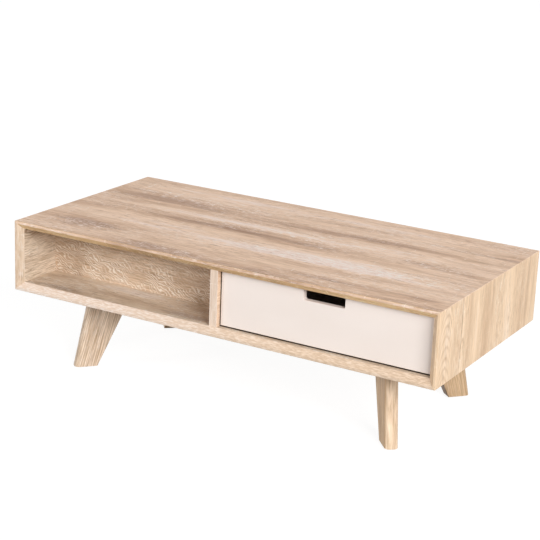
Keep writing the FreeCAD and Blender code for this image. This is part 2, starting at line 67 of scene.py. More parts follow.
class Nodes:
    """The emptied node tree of a material or world. A method adds a node and gives back what it puts out."""

    def __init__(self, owner):
        owner.use_nodes = True
        self.tree = owner.node_tree
        self.tree.nodes.clear()

    def surface(self, kind, shader):
        self.feed(self.tree.nodes.new("ShaderNodeOutput" + kind).inputs["Surface"], shader)

    def feed(self, socket, value):
        if isinstance(value, bpy.types.NodeSocket):
            self.tree.links.new(value, socket)
        elif value is not None:
            socket.default_value = value

    def node(self, kind, *values, out=0, named=None, **settings):
        made = self.tree.nodes.new("ShaderNode" + kind)
        for key, value in settings.items():
            setattr(made, key, value)
        for socket, value in zip(made.inputs, values):
            self.feed(socket, value)
        for socket, value in (named or {}).items():
            self.feed(made.inputs[socket], value)
        return made.outputs[out]

    def axes(self, place):
        made = self.tree.nodes.new("ShaderNodeSeparateXYZ")
        self.feed(made.inputs[0], place)
        return list(made.outputs)

    def calc(self, operation, *values):
        return self.node("Math", *values, operation=operation)

    def times(self, a, b):
        return self.calc("MULTIPLY", a, b)

    def plus(self, a, b):
        return self.calc("ADD", a, b)

    def scaled(self, place, scale, shift=(0, 0, 0), turn=(0, 0, 0)):
        return self.node("Mapping", place, shift, turn, scale)

    def noise(self, place, detail=2.0, roughness=0.5):
        named = {"Vector": place, "Scale": 1.0, "Detail": detail, "Roughness": roughness}
        return self.node("TexNoise", named=named)

    def between(self, value, low, high, start=0.0, stop=1.0):
        return self.node("MapRange", value, low, high, start, stop, interpolation_type="SMOOTHSTEP")

    def ramp(self, value, *stops):
        made = self.tree.nodes.new("ShaderNodeValToRGB")
        self.feed(made.inputs[0], value)
        marks = made.color_ramp.elements
        while len(marks) < len(stops):
            marks.new(0.5)
        for mark, (position, colour) in zip(marks, stops):
            mark.position = position
            mark.color = colour
        return made.outputs[0]

    def blend(self, kind, share, a, b, **settings):
        made = self.tree.nodes.new("ShaderNodeMix")
        made.data_type = kind
        for key, value in settings.items():
            setattr(made, key, value)
        first, second, out = MIX_SOCKETS[kind]
        for index, value in ((0, share), (first, a), (second, b)):
            self.feed(made.inputs[index], value)
        return made.outputs[out]

    def mix(self, share, a, b, mode="MIX"):
        """One colour or the other, by share. No colour gives back more light than it gets."""
        return self.blend("RGBA", share, a, b, blend_type=mode, clamp_result=True)

    def swap(self, share, a, b):
        """One place or the other, by share."""
        return self.blend("VECTOR", share, a, b)


class Finish(Nodes):
    """One material of the table, placed on a piece by the table's own axes."""

    def __init__(self, name, **uniform):
        self.material = bpy.data.materials.new(name)
        super().__init__(self.material)
        self.shader = self.tree.nodes.new("ShaderNodeBsdfPrincipled")
        self.surface("Material", self.shader.outputs["BSDF"])
        for socket, value in uniform.items():
            self.shader.inputs[socket.replace("_", " ")].default_value = value
        self.place = self.node("TexCoord", out="Object")

    def normal(self):
        return self.axes(self.node("TexCoord", out="Normal"))

    def bump(self, height, depth, strength):
        named = {"Height": height, "Distance": depth, "Strength": strength}
        self.feed(self.shader.inputs["Normal"], self.node("Bump", named=named))

    def colour(self, value):
        self.feed(self.shader.inputs["Base Color"], value)

    def roughness(self, value):
        self.feed(self.shader.inputs["Roughness"], value)

    def wear(self, *names):
        """Puts this finish on pieces or CAD nodes in place of what they had."""
        for name in names:
            piece = nodes[name] if isinstance(name, str) else name
            piece.data.materials.clear()
            piece.data.materials.append(self.material)


# Finishes
#
# The oak is one printed pattern, laid along each board's own grain. The scale of a noise is per
# metre along, across and through the grain. Boards that the photograph shows closely also get rows
# of their own: (middle along, middle across, half length, half width, depth), in millimetres but
# for the depth. PATCHES are smoky, or pale where the depth is below zero. FLECKS are where pale
# flecks gather. MARKS are single thin scrapes filled with white wash.

OAK_SMOKE = shade(192, 162, 140)
OAK_BROWN = shade(217, 185, 157)
OAK_MIDDLE = shade(233, 204, 178)
OAK_WARM = shade(243, 214, 187)
OAK_PALE = shade(248, 226, 211)
OAK_WHITE = shade(252, 240, 230)
OAK_DARK = shade(154, 120, 94)

# The slanting print on the bottom's edges, from its left end to its right end
EDGE_STOPS = (0.4, 0.52, 0.62)
EDGE_PINK = (shade(229, 206, 186), shade(239, 219, 203), shade(249, 237, 227))
EDGE_GOLD = (shade(207, 181, 154), shade(221, 196, 170), shade(237, 215, 193))

TOP_PATCHES = (
    (-85, -19, 420, 17, 0.85),
    (-60, -10, 560, 52, 0.45),
    (250, 115, 480, 32, 0.85),
    (-450, 124, 320, 44, 0.8),
    (-440, -200, 150, 42, 0.95),
    (-480, -235, 180, 32, 0.6),
    (-190, -274, 220, 36, 0.75),
    (340, -240, 380, 34, 0.9),
    (530, -233, 80, 18, 0.6),
    (450, 2, 150, 36, 0.9),
    (560, -17, 100, 20, 0.6),
    (440, 170, 150, 20, 0.8),
    (580, 174, 75, 16, 0.6),
    (150, 190, 220, 20, 0.4),
    (-330, -150, 320, 36, 0.45),
    (-500, -140, 140, 40, 0.35),
    (560, 60, 180, 40, 0.35),
    (150, -291, 700, 15, 0.4),
    (240, -122, 440, 62, -1.1),
    (-330, -72, 320, 44, -0.6),
    (-250, 250, 480, 64, -0.55),
    (250, 240, 480, 56, -0.65),
    (-250, 42, 320, 36, -0.6),
    (150, 45, 480, 30, -0.3),
    (250, -68, 440, 32, -0.3),
    (-100, -185, 220, 40, -0.3),
)
TOP_FLECKS = (
    (-300, 160, 420, 34, 0.7),
    (230, -120, 460, 56, 1.2),
    (-150, -264, 240, 34, 0.7),
    (-430, -212, 220, 52, 0.75),
    (450, 2, 150, 36, 0.8),
    (450, 172, 200, 22, 0.7),
    (100, 40, 600, 60, 0.35),
)
TOP_MARKS = (
    (-530, 215, 3, 54, 1.1),
    (-411, 177, 3, 50, 1.1),
    (-510, 172, 100, 4, 1.0),
    (-440, 190, 60, 4, 1.0),
    (-350, 186, 80, 4, 0.9),
    (-566, -95, 3, 28, 0.8),
    (-528, -80, 3, 24, 0.8),
    (-547, -212, 3, 24, 0.8),
    (-486, -208, 3, 26, 0.8),
    (-227, -263, 3, 18, 0.8),
)
RIGHT_PATCHES = (
    (300, -172, 260, 4.5, 0.9),
    (300, -186, 200, 18, 0.3),
    (300, -130, 300, 26, 0.35),
    (270, -18, 300, 40, 0.45),
    (350, 12, 100, 11, 0.5),
    (300, 50, 180, 10, 0.35),
    (300, 207, 300, 26, 0.4),
    (310, 237, 300, 20, 0.45),
    (290, 275, 240, 18, 0.25),
    (300, -262, 400, 50, -0.8),
    (300, -163, 200, 5, -0.4),
    (300, -82, 400, 28, -0.65),
    (300, 105, 400, 40, -0.55),
)
RIGHT_FLECKS = (
    (362, -160, 14, 14, 1.6),
    (242, -168, 12, 9, 1.4),
    (300, -166, 140, 9, 0.25),
    (340, 40, 80, 24, 0.5),
)
# Patches of the niche floor: the print's smoky patches, with painted shade near the divider and the left
# wall and a pale painted pool of light in the middle at the back
FLOOR_PRINT_AND_PAINTED_LIGHT_PATCHES = (
    (-490, -268, 150, 22, 0.9),
    (-90, -262, 130, 30, 0.9),
    (-60, -200, 110, 26, 0.5),
    (-300, -238, 200, 14, 0.4),
    (-310, -190, 200, 34, -0.8),
)
LEFT_PATCHES = (
    (300, 160, 260, 6, 0.9),
    (280, 30, 300, 32, 0.6),
    (320, -120, 300, 24, 0.7),
    (300, -230, 300, 18, 0.5),
    (300, 255, 400, 45, -0.7),
    (300, 95, 400, 30, -0.6),
    (300, -50, 400, 35, -0.5),
)

# The print's bands of light and dark, and how far apart its saw marks are
LEVEL_MIDDLE, LEVEL_SPREAD = 0.825, 0.3
SAW_PITCH, SAW_JITTER = 33 * MM, 12 * MM

# Figures of single boards: the middle and half sizes of the loops on the left wall of the niche in
# millimetres, the arches on the right side, and the slanting figure of the niche backs
LEFT_LOOPS = (-262, 366, 21, 6.8)
ARCH_MIDDLE, ARCH_HALF, ARCH_PITCH = -256 * MM, 34 * MM, 24 * MM
FIGURE_SLANT, FIGURE_PITCH = 0.55, 8.5 * MM

# Tints of single boards and faces, matched to the photograph with some of its light and shade
# The top's tint also holds a painted sheen: it lifts and whitens the whole top in place of the room's
# reflection
TOP_TINT_WITH_PAINTED_SHEEN = (1.12, 1.1, 1.13)
# Painted shade on the top's rounded front edges
TOP_ROUNDED_PAINTED_SHADE = (0.44, 0.43, 0.4)
TOP_BEVEL_TINT = (1.12, 1.07, 0.79)
# Painted light on the niche floor: a cooler colour that offsets the warm light bounced inside the niche
NICHE_FLOOR_PAINTED_LIGHT_TINT = (0.865, 0.95, 1.0)
LEFT_BEVEL_TINT = (0.88, 0.92, 0.94)
LEFT_WALL_LINES = (0.62, 0.58, 0.52)
# Painted light on the niche's left wall: a paler, cooler colour that offsets the warm light bounced inside
# the niche
LEFT_WALL_PAINTED_LIGHT_TINT = (1.05, 1.19, 1.32)
RIGHT_TINT = (1.03, 1.01, 0.92)
NICHE_BACK_LINES = (0.72, 0.68, 0.62)
NICHE_BACK_TINT = (1.07, 1.1, 1.08)

# Painted shade of the top on the niche: the photograph's niche is dimmer under the top, whose lower face is
# at this height
NICHE_TOP = 374 * MM
UNDER_TOP_PAINTED_SHADE = (0.8, 0.78, 0.74)

# Where the painted shade of a drawer bay fades in behind the front and out at the far end
BAY_FRONT = (-272 * MM, -270 * MM)
BAY_END = (150 * MM, 158 * MM)


def reach(look, grain, along, across, length, width):
    """How far a place is from the middle of a patch: none in the middle, one at its rim."""
    scale = (1 / (length * MM), 1 / (width * MM), 0)
    local = look.scaled(grain, scale, (-along / length, -across / width, 0))
    return look.node("VectorMath", local, operation="LENGTH", out="Value")


def patches(look, grain, rows):
    """Adds up soft long patches on a board."""
    total = 0.0
    for *patch, depth in rows:
        total = look.plus(look.between(reach(look, grain, *patch), 0.1, 1.0, depth, 0.0), total)
    return total


def facing(look, axis, low, high):
    """How far a face looks along one axis of the table, from none at low to one at high."""
    return look.between(look.normal()[axis], low, high)


def slope(look):
    """How far a face looks to the front or the rear, from none to one."""
    return look.calc("ABSOLUTE", look.normal()[Y])


def laid(look, order, place=None):
    """The place on a board as distances along, across and through its grain."""
    xyz = look.axes(place or look.place)
    return look.node("CombineXYZ", *[xyz[axis] for axis in order])


def oak(look, grain, seed, rows=(), fleck_rows=(), contrast=1.0, arches=None,
        sawn=1.0, flecked=1.0, pored=1.0, matt=0.0):
    """Washed oak print: soft bands, streaks, fine grain, pores, pale flecks and saw marks.

    Sawn, flecked and pored are the strengths of the saw marks, flecks and pores, and matt adds to
    the roughness.
    """
    own = look.scaled(grain, (1, 1, 1), (seed * 1.71, seed * 0.93, seed * 2.37))
    drift = look.calc("SUBTRACT", look.noise(look.scaled(own, (2.6, 5, 5)), 2), 0.5)
    fray = look.calc("SUBTRACT", look.noise(look.scaled(own, (14, 90, 90)), 2, 0.6), 0.5)
    frayed = look.times(fray, 0.007)
    bent = pushed(look, own, look.calc("MULTIPLY_ADD", drift, 0.05, frayed))
    rows_at = pushed(look, grain, look.calc("MULTIPLY_ADD", drift, 0.03, frayed))

    broad = look.noise(look.scaled(bent, (1.1, 13, 13)), 2, 0.5)
    narrow = look.noise(look.scaled(bent, (2.6, 45, 45)), 2, 0.6)
    streak = look.noise(look.scaled(bent, (15, 120, 120)), 2, 0.6)
    level = look.plus(look.times(broad, 0.95), look.times(narrow, 0.35))
    level = look.calc("MULTIPLY_ADD", streak, 0.35, level)
    spread = LEVEL_SPREAD / contrast
    level = look.node("MapRange", level, LEVEL_MIDDLE - spread, LEVEL_MIDDLE + spread, 0.0, 1.0, clamp=False)
    if rows:
        fibre = look.between(fray, -0.25, 0.25, 0.8, 1.15)
        level = look.calc("MULTIPLY_ADD", look.times(patches(look, rows_at, rows), fibre), -0.6, level)
    tone = look.ramp(
        level, (0.0, OAK_SMOKE), (0.25, OAK_BROWN), (0.5, OAK_MIDDLE), (0.75, OAK_WARM), (1.0, OAK_PALE)
    )
    tone = look.mix(look.between(level, -0.6, 0.0, 0.5, 0.0), tone, OAK_DARK)

    if arches is not None:
        tone = look.mix(arches, tone, OAK_BROWN)
    fine = look.noise(look.scaled(bent, (17, 240, 240)), 3, 0.7)
    tone = darkened(look, 1.0, tone, fine, 0.33, 0.6, (0.8, 0.77, 0.71))

    clusters = look.noise(look.scaled(own, (4, 17, 17)), 2)
    pores = look.noise(look.scaled(own, (34, 260, 260)), 2)
    pores = look.times(look.between(pores, 0.55, 0.67), look.between(clusters, 0.4, 0.6))
    tone = look.mix(look.times(pores, 0.5 * pored), tone, OAK_DARK)

    where = look.between(look.noise(look.scaled(own, (3.1, 12, 12), (4, 9, 2)), 2), 0.42, 0.62, 0.15, 1.0)
    if fleck_rows:
        where = look.plus(patches(look, rows_at, fleck_rows), look.times(where, 0.6))
    flecks = look.noise(look.scaled(bent, (46, 230, 230)), 2, 0.6)
    flecks = look.times(look.between(flecks, 0.53, 0.62), where)
    curls = look.calc("SUBTRACT", look.noise(look.scaled(bent, (42, 100, 100)), 2), 0.5)
    curls = look.calc("ABSOLUTE", curls)
    flecks = look.calc("MULTIPLY_ADD", look.between(curls, 0.0, 0.035, 0.5, 0.0), where, flecks)
    tone = look.mix(look.calc("MINIMUM", look.times(flecks, 0.48 * flecked), 0.7), tone, OAK_WHITE)

    along = look.axes(own)[0]
    jitter = look.times(look.noise(look.scaled(own, (1, 30, 30)), 1), SAW_JITTER)
    step = look.calc("PINGPONG", look.times(look.plus(along, jitter), 1 / SAW_PITCH), 0.5)
    sparse = look.noise(look.scaled(own, (23, 48, 48), (7, 1, 3)), 2)
    ticks = look.times(look.between(step, 0.45, 0.49), look.between(sparse, 0.56, 0.68))
    tone = look.mix(look.times(ticks, 0.5 * sawn), tone, OAK_WHITE)

    height = look.calc("MULTIPLY_ADD", pores, -1.2, look.times(fine, 0.7))
    height = look.calc("MULTIPLY_ADD", ticks, -0.5, height)
    look.bump(height, 0.12 * MM, 0.6)
    look.roughness(look.plus(look.between(fine, 0.2, 0.8, 0.4 + matt, 0.52 + matt), look.times(pores, 0.15)))
    return tone


def pushed(look, place, across):
    """The place moved a little across the grain."""
    return look.node("VectorMath", place, look.node("CombineXYZ", 0.0, across, 0.0), operation="ADD")


def ridges(look, phase, share):
    """Thin curved lines of a cathedral figure from a phase that counts them, where share is one."""
    wave = look.calc("PINGPONG", phase, 0.5)
    return look.times(look.between(wave, 0.2, 0.48), share)


def tinted(look, share, tone, tint):
    """The tone multiplied by a tint where share is one."""
    return look.mix(share, tone, (*tint, 1), "MULTIPLY")


def darkened(look, share, tone, value, low, high, dark):
    """The tone multiplied by a dark tint where a value is low, and share is one."""
    return look.mix(share, tone, look.ramp(value, (low, (*dark, 1)), (high, WHITE)), "MULTIPLY")


def lined(look, share, tone, grain, dark, along=8, across=300):
    """The tone with fine dark lines along the grain where share is one."""
    lines = look.noise(look.scaled(grain, (along, across, across)), 2, 0.6)
    return darkened(look, share, tone, lines, 0.36, 0.6, dark)


def bevels(look):
    """One on the slanting edges of a board of the box."""
    steep = slope(look)
    return look.times(look.between(steep, 0.5, 0.65), look.between(steep, 0.85, 0.95, 1.0, 0.0))


def top_oak():
    """The top, with its scrapes, painted shade on its rounded edges, its bevels and a painted sheen over the
    whole top.
    """
    look = Finish("top_oak", Specular_IOR_Level=0.1)
    grain = laid(look, ALONG_X)
    tone = oak(look, grain, 1.0, TOP_PATCHES, TOP_FLECKS, 1.15, flecked=1.35, matt=0.15)
    fray = look.times(look.calc("SUBTRACT", look.noise(look.scaled(grain, (60, 160, 160)), 2), 0.5), 0.012)
    marks = look.calc("MINIMUM", patches(look, pushed(look, grain, fray), TOP_MARKS), 1.0)
    broken = look.between(look.noise(look.scaled(grain, (150, 150, 150)), 2, 0.6), 0.38, 0.56, 0.1, 0.8)
    tone = look.mix(look.times(marks, broken), tone, OAK_WHITE)
    # Painted sheen over the whole top, in its tint
    tone = tinted(look, 1.0, tone, TOP_TINT_WITH_PAINTED_SHEEN)
    # Painted shade on the rounded edges of the top
    steep = slope(look)
    rounded = look.times(look.between(steep, 0.06, 0.3), look.between(steep, 0.6, 0.7, 1.0, 0.0))
    tone = tinted(look, rounded, tone, TOP_ROUNDED_PAINTED_SHADE)
    look.colour(tinted(look, bevels(look), tone, TOP_BEVEL_TINT))
    return look


def bottom_oak():
    """The bottom: the niche floors with painted light and shade, the drawer bays with painted shade dark as
    board, and a front edge that turns from pink to gold.
    """
    look = Finish("bottom_oak", Specular_IOR_Level=0.35)
    grain = laid(look, ALONG_X)
    along, across, _ = look.axes(grain)
    tone = oak(look, grain, 2.0, FLOOR_PRINT_AND_PAINTED_LIGHT_PATCHES)
    floor_side = facing(look, Z, 0.8, 0.95)
    # Painted light: the niche floor is cooled against the warm bounced light
    tone = tinted(look, floor_side, tone, NICHE_FLOOR_PAINTED_LIGHT_TINT)
    half = look.calc("SIGN", along)
    tone = bay_painted_shade(look, tone, floor_side, look.times(across, half))
    slant = look.noise(look.scaled(grain, (75, 400, 400), turn=(0, 0, 0.3)), 2)
    pink, gold = [look.ramp(slant, *zip(EDGE_STOPS, shades)) for shades in (EDGE_PINK, EDGE_GOLD)]
    edge = look.mix(look.between(along, -0.35, 0.3), pink, gold)
    look.colour(look.mix(look.between(slope(look), 0.5, 0.65, 0.0, 0.8), tone, edge))
    return look


def left_oak():
    """The left side: upright grain outside, and level grain with a few loops inside."""
    look = Finish("left_oak", Specular_IOR_Level=0.35)
    inside = facing(look, X, 0.75, 0.9)
    grain = look.swap(inside, laid(look, ALONG_Z), laid(look, ALONG_Y_UPRIGHT))
    tone = oak(look, grain, 3.0, LEFT_PATCHES, contrast=0.8, flecked=0.6)
    tone = tinted(look, bevels(look), tone, LEFT_BEVEL_TINT)
    loops = look.plus(reach(look, grain, *LEFT_LOOPS), look.noise(look.scaled(grain, (30, 60, 60)), 2))
    near = look.times(look.between(loops, 3.2, 4.8, 0.75, 0.0), inside)
    tone = look.mix(ridges(look, loops, near), tone, OAK_DARK)
    tone = lined(look, inside, tone, grain, LEFT_WALL_LINES, 26, 520)
    # Painted shade of the top on the upper part of the wall's inside
    high = look.between(look.axes(grain)[1], 0.3, NICHE_TOP)
    tone = tinted(look, look.times(high, inside), tone, UNDER_TOP_PAINTED_SHADE)
    # Painted light on the inside of the wall, paler and cooler than the outside
    look.colour(tinted(look, inside, tone, LEFT_WALL_PAINTED_LIGHT_TINT))
    return look


def right_oak():
    """The right side: upright grain with a row of arches near the front."""
    look = Finish("right_oak", Specular_IOR_Level=0.35)
    inside = facing(look, X, -0.75, -0.9)
    grain = look.swap(inside, laid(look, ALONG_Z), laid(look, ALONG_Y_UPRIGHT))
    along, across, _ = look.axes(grain)
    off = look.times(look.plus(across, -ARCH_MIDDLE), 1 / ARCH_HALF)
    wobble = look.times(look.noise(look.scaled(grain, (9, 16, 16)), 2), 2.2)
    rise = look.calc("MULTIPLY_ADD", look.times(off, off), 1.6, look.times(along, 1 / ARCH_PITCH))
    near = look.between(look.calc("ABSOLUTE", off), 0.7, 1.25, 0.6, 0.0)
    lines = ridges(look, look.plus(rise, wobble), near)
    tone = oak(look, grain, 4.0, RIGHT_PATCHES, RIGHT_FLECKS, 0.55, arches=lines, sawn=0.3)
    look.colour(tinted(look, 1.0, tone, RIGHT_TINT))
    return look


def bay_painted_shade(look, tone, outward, towards):
    """Painted shade, coloured as dark bare board, on faces of a drawer bay that lie behind its drawer's
    front.
    """
    behind = look.times(look.between(towards, *BAY_FRONT), look.between(towards, *BAY_END, 1.0, 0.0))
    fibre = look.noise(look.scaled(look.place, (60, 220, 220)), 2)
    # Painted shade in the bay, in the colours of dark board
    gap_shade = look.ramp(fibre, (0.3, shade(58, 44, 34)), (0.7, shade(74, 57, 44)))
    return look.mix(look.times(behind, outward), tone, gap_shade)


def divider_oak():
    """The divider: paler, upright grain on its two edges, and painted shade, dark as board, on its face to
    each drawer bay.
    """
    look = Finish("divider_oak", Specular_IOR_Level=0.35)
    normal = look.normal()
    edge = look.between(look.calc("ABSOLUTE", normal[Y]), 0.6, 0.8)
    grain = look.swap(edge, laid(look, ALONG_Y_UPRIGHT), laid(look, ALONG_Z_EDGE))
    tone = oak(look, grain, 5.0, contrast=0.9)
    x, y, _ = look.axes(look.place)
    rim = look.between(look.calc("ABSOLUTE", x), 8.2 * MM, 9.4 * MM, 0.3, 0.6)
    tone = look.mix(look.times(edge, rim), tone, OAK_WHITE)
    sideways = look.between(look.calc("ABSOLUTE", normal[X]), 0.6, 0.8)
    look.colour(bay_painted_shade(look, tone, sideways, look.times(y, look.calc("SIGN", normal[X]))))
    return look


def niche_oak():
    """The niche backs, with a broken pale figure that slants across their lower part."""
    look = Finish("niche_oak", Specular_IOR_Level=0.3)
    grain = laid(look, ALONG_X_UPRIGHT)
    along, across, _ = look.axes(grain)
    wobble = look.times(look.noise(look.scaled(grain, (34, 38, 38)), 2, 0.5), 5.0)
    slanted = look.calc("MULTIPLY_ADD", along, FIGURE_SLANT, across)
    phase = look.plus(look.times(slanted, 1 / FIGURE_PITCH), wobble)
    low = look.plus(across, look.times(look.noise(look.scaled(grain, (4, 4, 4)), 2), 0.06))
    lower = look.between(low, 0.32, 0.38, 1.0, 0.15)
    broken = look.between(look.noise(look.scaled(grain, (16, 22, 22), (2, 5, 8)), 2), 0.35, 0.6, 0.12, 0.78)
    tone = oak(look, grain, 6.0, contrast=1.2, sawn=0.4)
    tone = look.mix(look.times(lower, 0.38), tone, OAK_SMOKE)
    tone = lined(look, 1.0, tone, grain, NICHE_BACK_LINES, 20, 420)
    tone = look.mix(look.times(ridges(look, phase, lower), broken), tone, OAK_WHITE)
    # Painted shade of the top on the upper part of the niche back
    tone = tinted(look, look.between(across, 0.29, NICHE_TOP), tone, UNDER_TOP_PAINTED_SHADE)
    look.colour(tinted(look, 1.0, tone, NICHE_BACK_TINT))
    return look


LEG_TURNS = {"front_left": (-1, -1), "front_right": (1, -1), "rear_left": (-1, 1), "rear_right": (1, 1)}
LEG_TURN, LEG_LEAN = math.radians(48.5), math.radians(15)
LEG_FOOT = (428.8 * MM, 175.6 * MM)
# Painted light and shade on each leg, matched to the photograph's legs, and painted shade on their inner
# edges
LEG_PAINTED_LIGHT_AND_SHADE = {
    "front_left": (1.18, 1.27, 1.36),
    "front_right": (1.34, 1.46, 1.52),
    "rear_left": (1.12, 1.11, 1.04),
    "rear_right": (0.79, 0.75, 0.64),
}
LEG_SEED = 11.0
LEG_INNER_PAINTED_SHADE = (0.46, 0.4, 0.32)
DEEP_LINES = (0.58, 0.53, 0.46)
# In the photograph one leg has softer lines than the others; its wide faces get painted shade, darker and
# browner than its edges
SOFT_LINES = {"front_right": (0.74, 0.7, 0.64)}
WIDE_FACES_PAINTED_SHADE = {"front_right": (0.87, 0.77, 0.63)}


def leg_oak(corner, seed):
    """Oak along one leg's own lean."""
    side, end = LEG_TURNS[corner]
    yaw = math.atan2(end * math.sin(LEG_TURN), side * math.cos(LEG_TURN))
    look = Finish(corner + "_leg_oak", Specular_IOR_Level=0.35)
    foot = Matrix.Rotation(-yaw, 3, "Z") @ Vector((side * LEG_FOOT[0], end * LEG_FOOT[1], 0))
    plank = look.scaled(look.place, (1, 1, 1), tuple(-foot), (0, 0, -yaw))
    leant = look.scaled(plank, (1, 1, 1), turn=(0, LEG_LEAN, 0))
    grain = laid(look, ALONG_Z_EDGE, leant)
    tone = oak(look, grain, seed, sawn=0.2, flecked=0.35, pored=0.45)
    tone = lined(look, 1.0, tone, grain, SOFT_LINES.get(corner, DEEP_LINES))
    # Painted light and shade for this leg's place under the table
    tone = tinted(look, 1.0, tone, LEG_PAINTED_LIGHT_AND_SHADE[corner])
    out_x, out_y, _ = look.normal()
    outward = look.calc("MULTIPLY_ADD", out_x, math.cos(yaw), look.times(out_y, math.sin(yaw)))
    # Painted shade on the wide faces of this leg
    if corner in WIDE_FACES_PAINTED_SHADE:
        wide = look.between(look.calc("ABSOLUTE", outward), 0.3, 0.7, 1.0, 0.0)
        tone = tinted(look, wide, tone, WIDE_FACES_PAINTED_SHADE[corner])
    # Painted shade on the leg's inner edges
    inner = look.between(outward, -0.75, -0.55, 1.0, 0.0)
    look.colour(tinted(look, inner, tone, LEG_INNER_PAINTED_SHADE))
    return look


top_oak().wear("top_panel")
bottom_oak().wear("bottom_panel")
left_oak().wear("left_side_panel")
right_oak().wear("right_side_panel")
divider_oak().wear("centre_divider")
niche_oak().wear("front_niche_back", "rear_niche_back")
for number, corner in enumerate(LEG_TURNS):
    leg_oak(corner, LEG_SEED + number).wear(corner + "_leg")


def lacquer():
    """Warm white sprayed lacquer, satin, with the faint ripple that spraying leaves."""
    look = Finish("white_lacquer", Specular_IOR_Level=0.4)
    cloud = look.noise(look.scaled(look.place, (5, 5, 9)), 2)
    ripple = look.noise(look.scaled(look.place, (620, 620, 620)), 2)
    look.colour(look.ramp(cloud, (0.3, shade(241, 229, 221)), (0.7, shade(244, 233, 226))))
    look.roughness(look.between(ripple, 0.3, 0.7, 0.3, 0.38))
    look.bump(ripple, 0.03 * MM, 0.35)
    return look


lacquer().wear("front_drawer_front", "rear_drawer_front")


def sprayed(name, low, high, rough, peel):
    """Powder coat: two close shades and the orange peel that spraying leaves."""
    look = Finish(name, Specular_IOR_Level=0.45)
    cloud = look.noise(look.scaled(look.place, (7, 7, 7)), 2)
    ripple = look.noise(look.scaled(look.place, (peel, peel, peel)), 2)
    look.colour(look.ramp(cloud, (0.3, low), (0.7, high)))
    look.roughness(look.between(ripple, 0.3, 0.7, rough, rough + 0.1))
    look.bump(ripple, 0.06 * MM, 0.5)
    return look


def plated(name, low, high, rough, grain):
    """Bare or plated metal: cloudy plate, fine scratches and a slightly uneven gloss."""
    look = Finish(name, Metallic=1.0)
    cloud = look.noise(look.scaled(look.place, (160, 160, 160)), 3, 0.6)
    scratch = look.noise(look.scaled(look.place, (grain, grain * 3, grain * 3)), 2, 0.7)
    look.colour(look.ramp(cloud, (0.3, low), (0.7, high)))
    look.roughness(look.plus(look.between(cloud, 0.3, 0.7, rough, rough + 0.12), look.times(scratch, 0.1)))
    look.bump(scratch, 0.02 * MM, 0.5)
    return look


def melamine():
    """White melamine of the drawer boards, with a fine pearl."""
    look = Finish("drawer_melamine", Specular_IOR_Level=0.4)
    speck = look.noise(look.scaled(look.place, (900, 900, 900)), 2)
    cloud = look.noise(look.scaled(look.place, (4, 4, 4)), 2)
    tone = look.ramp(cloud, (0.3, shade(233, 231, 227)), (0.7, shade(240, 238, 234)))
    look.colour(darkened(look, 1.0, tone, speck, 0.3, 0.6, (0.95, 0.95, 0.94)))
    look.roughness(look.between(speck, 0.3, 0.7, 0.38, 0.52))
    look.bump(speck, 0.04 * MM, 0.5)
    return look


# The wire mesh under a hardboard, and how deep red, green and blue light go into nylon
MESH_PITCH = 2.4 * MM
NYLON_DEPTHS = (2.0 * MM, 1.8 * MM, 1.5 * MM)


def hardboard():
    """Drawer bottom: white paper above, bare brown hardboard with its wire mesh below."""
    look = Finish("drawer_hardboard", Specular_IOR_Level=0.35)
    along, across, _ = look.axes(look.place)
    fibre = look.noise(look.scaled(look.place, (420, 420, 420)), 3, 0.7)
    white = look.ramp(fibre, (0.35, shade(230, 228, 223)), (0.65, shade(238, 236, 232)))
    brown = look.ramp(fibre, (0.3, shade(112, 78, 50)), (0.7, shade(150, 110, 74)))
    above = facing(look, Z, 0.3, 0.7)
    wires = [look.calc("PINGPONG", look.times(way, 1 / MESH_PITCH), 0.5) for way in (along, across)]
    mesh = look.calc("MINIMUM", *[look.between(wire, 0.1, 0.3) for wire in wires])
    look.colour(look.mix(above, look.mix(look.times(mesh, 0.35), brown, shade(96, 66, 42)), white))
    look.roughness(look.between(fibre, 0.3, 0.7, 0.45, 0.6))
    bare = look.calc("SUBTRACT", 1.0, above)
    look.bump(look.calc("MULTIPLY_ADD", mesh, bare, look.times(fibre, 0.4)), 0.1 * MM, 0.6)
    return look


def beech(name, order):
    """Bare beech with its short dark rays, along one axis."""
    look = Finish(name, Specular_IOR_Level=0.3)
    grain = laid(look, order)
    bands = look.noise(look.scaled(grain, (12, 260, 260)), 3, 0.6)
    rays = look.noise(look.scaled(grain, (330, 1500, 1500)), 2)
    tone = look.ramp(bands, (0.3, shade(196, 154, 112)), (0.7, shade(219, 182, 142)))
    look.colour(look.mix(look.between(rays, 0.56, 0.68, 0.0, 0.5), tone, shade(146, 98, 62)))
    look.roughness(look.between(bands, 0.3, 0.7, 0.55, 0.7))
    look.bump(bands, 0.08 * MM, 0.6)
    return look


def nylon():
    """Natural nylon, a little cloudy, with the fine matt of its mould."""
    look = Finish("moulded_nylon", Specular_IOR_Level=0.45, Subsurface_Weight=0.1)
    look.shader.inputs["Subsurface Radius"].default_value = NYLON_DEPTHS
    cloud = look.noise(look.scaled(look.place, (90, 90, 90)), 3)
    matt = look.noise(look.scaled(look.place, (1400, 1400, 1400)), 2)
    look.colour(look.ramp(cloud, (0.3, shade(221, 217, 206)), (0.7, shade(235, 232, 223))))
    look.roughness(look.between(matt, 0.3, 0.7, 0.38, 0.52))
    look.bump(matt, 0.03 * MM, 0.5)
    return look


